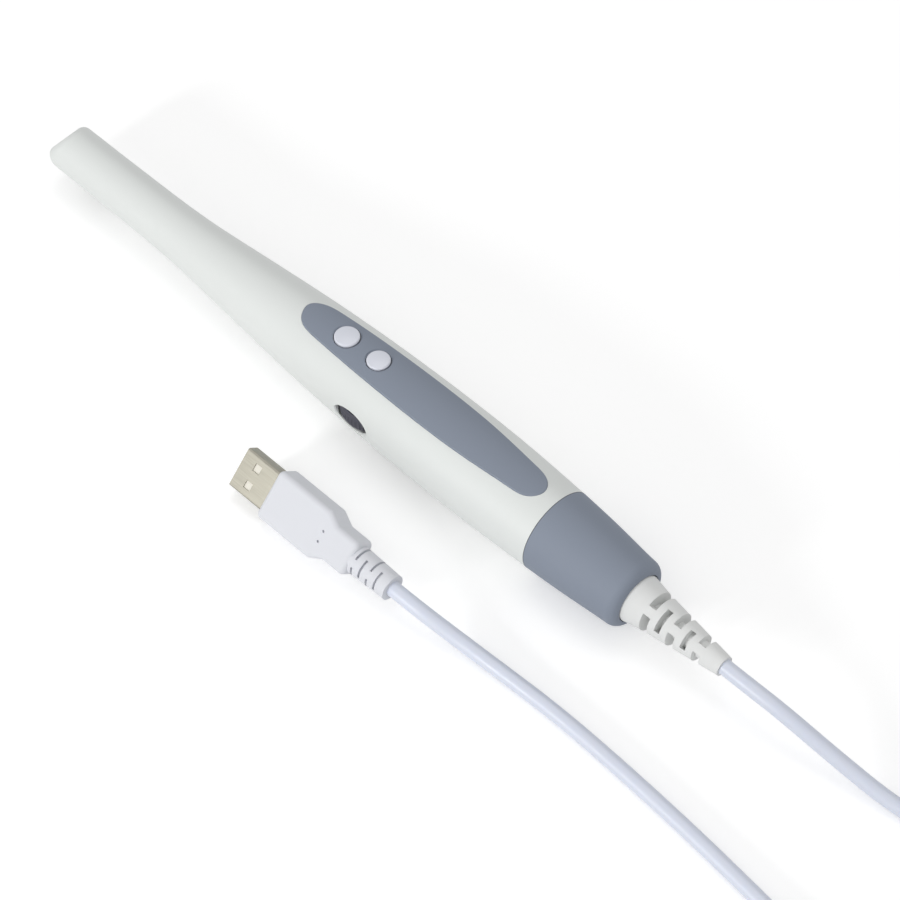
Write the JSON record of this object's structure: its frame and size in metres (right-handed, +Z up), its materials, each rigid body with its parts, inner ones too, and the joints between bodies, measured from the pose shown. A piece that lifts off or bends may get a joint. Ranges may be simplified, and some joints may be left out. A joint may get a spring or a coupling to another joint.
{
  "type": "intraoral camera",
  "caption": "Slender handheld camera with a tapered barrel, a blue-grey control panel with push buttons, a side focus wheel, a strain relief and a lead with a flat plug.",
  "frame": {"origin": "on the surface under the middle of the handpiece with its strain relief", "axes": "+X along the handpiece towards its tip, +Y towards the focus wheel's side, +Z up through the buttons"},
  "size_m": [0.4178, 0.07, 0.0266],
  "materials": {
    "body_white": "satin moulded",
    "cap_grey": "satin moulded",
    "panel_grey": "satin inlay",
    "button_white": "semi-gloss",
    "wheel_dark": "knurled",
    "relief_white": "soft moulded",
    "cord_white": "smooth jacket",
    "grip_white": "fine grain",
    "tie_white": "smooth strap",
    "steel": "bright",
    "rod_steel": "ground",
    "black_plastic": "moulded",
    "plunger_red": "moulded",
    "retainer_black": "anodised",
    "optical_glass": "polished",
    "board_green": "solder mask",
    "flex_amber": "film",
    "led_white": "clear moulded",
    "sensor_dark": "cover glass",
    "frame_grey": "moulded",
    "connector_ivory": "moulded",
    "wire_coloured": "insulated",
    "seal_black": "smooth",
    "contact_gilt": "gilt"
  },
  "bodies": {
    "handpiece": {"barrel": "body_white", "rear_cap": "cap_grey", "control_panel": "panel_grey", "strain_relief": "relief_white", "cord_tail": "cord_white", "handpiece_cable": "cord_white", "plug_cable": "cord_white", "cable_coil": "cord_white", "plug_grip": "grip_white", "inner_coil_tie": "tie_white", "outer_coil_tie": "tie_white", "plug_shell": "steel", "wheel_axle": "steel", "axle_clip": "steel", "board_screws": "steel", "cable_clamp": "steel", "crystal": "steel", "optics_block": "black_plastic", "sensor_holder": "black_plastic", "front_switch_body": "black_plastic", "rear_switch_body": "black_plastic", "processor_chip": "black_plastic", "usb_chip": "black_plastic", "prism": "optical_glass", "window_cover": "optical_glass", "main_board": "board_green", "led_board": "board_green", "sensor_board": "board_green", "led_flex": "flex_amber", "sensor_ribbon": "flex_amber", "leds": "led_white", "image_sensor": "sensor_dark", "inner_frame": "frame_grey", "lead_connector": "connector_ivory", "plug_tongue": "connector_ivory", "inner_wires": "wire_coloured", "cap_seal": "seal_black", "plug_contacts": "contact_gilt"},
    "front_push": {"front_button": "button_white", "front_switch_plunger": "plunger_red"},
    "rear_push": {"rear_button": "button_white", "rear_switch_plunger": "plunger_red"},
    "wheel": {"focus_wheel": "wheel_dark"},
    "focus_slide": {"focus_rod": "rod_steel", "lens_carriage": "black_plastic", "rear_lens": "optical_glass", "front_lens": "optical_glass", "rear_lens_retainer": "retainer_black", "front_lens_retainer": "retainer_black"}
  },
  "joints": [
    {"name": "front_button_press", "type": "slide", "parent": "handpiece", "child": "front_push", "axis": [0, 0, -1], "range_m": [0, 0.00045], "stiffness_N_per_m": 800, "springref_m": -0.0005},
    {"name": "rear_button_press", "type": "slide", "parent": "handpiece", "child": "rear_push", "axis": [0, 0, -1], "range_m": [0, 0.00045], "stiffness_N_per_m": 800, "springref_m": -0.0005},
    {"name": "focus_wheel_turn", "type": "hinge", "parent": "handpiece", "child": "wheel", "pos_m": [-0.00155, 0.00429, 0.0131], "axis": [0, 0, 1], "range_deg": [-38, 38]},
    {"name": "focus_travel", "type": "slide", "parent": "handpiece", "child": "focus_slide", "axis": [1, 0, 0], "range_m": [-0.00198, 0.00198]}
  ],
  "couplings": [
    {"joint": "focus_wheel_turn", "follows": "focus_travel", "rad_per_m": 333.33}
  ]
}
